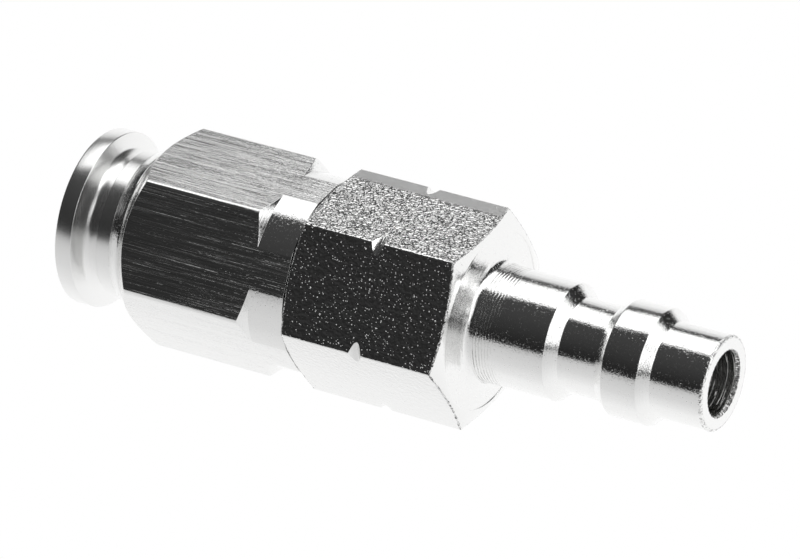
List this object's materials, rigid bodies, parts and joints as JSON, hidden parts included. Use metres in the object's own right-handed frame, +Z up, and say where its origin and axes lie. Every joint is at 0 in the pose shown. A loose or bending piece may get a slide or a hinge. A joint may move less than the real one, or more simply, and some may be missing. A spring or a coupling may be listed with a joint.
{
  "type": "push to connect fitting",
  "caption": "Metal push-in tube fitting with a hexagonal body and flanged release sleeve, screwed into a hexagonal quick-coupling plug with a through bore.",
  "frame": {"origin": "middle of the object's length and width, on the surface that its hexagons lie on", "axes": "+X along the common axis towards the plug's tip, +Z up, square to the hexagons' top and bottom flats"},
  "size_m": [0.0616, 0.0196, 0.017],
  "materials": {
    "plug_nickel": "nickel plate over turned and tumbled brass",
    "body_nickel": "nickel plate over drawn hexagon bar with lengthwise draw marks",
    "sleeve_nickel": "polished nickel plate",
    "bush_nickel": "nickel plate over fine turning",
    "collet_nickel": "satin nickel plate",
    "spring_steel": "stainless spring steel strip",
    "seal_rubber": "matt nitrile rubber"
  },
  "bodies": {
    "housing": {"plug_body": "plug_nickel", "fitting_body": "body_nickel", "thread_o_ring": "seal_rubber", "tube_seal": "seal_rubber", "support_ring": "collet_nickel", "guide_bush": "bush_nickel"},
    "chuck": {"chuck": "spring_steel"},
    "collet": {"collet": "collet_nickel"},
    "release_sleeve": {"release_sleeve": "sleeve_nickel"}
  },
  "joints": [
    {"name": "chuck_float", "type": "slide", "parent": "housing", "child": "chuck", "axis": [-1, 0, 0], "range_m": [0, 0.0004]},
    {"name": "collet_spin", "type": "hinge", "parent": "chuck", "child": "collet", "pos_m": [-0.0196, 0, 0.0085], "axis": [1, 0, 0], "continuous": true},
    {"name": "release_press", "type": "slide", "parent": "collet", "child": "release_sleeve", "axis": [1, 0, 0], "range_m": [0, 0.002], "stiffness_N_per_m": 2500}
  ]
}
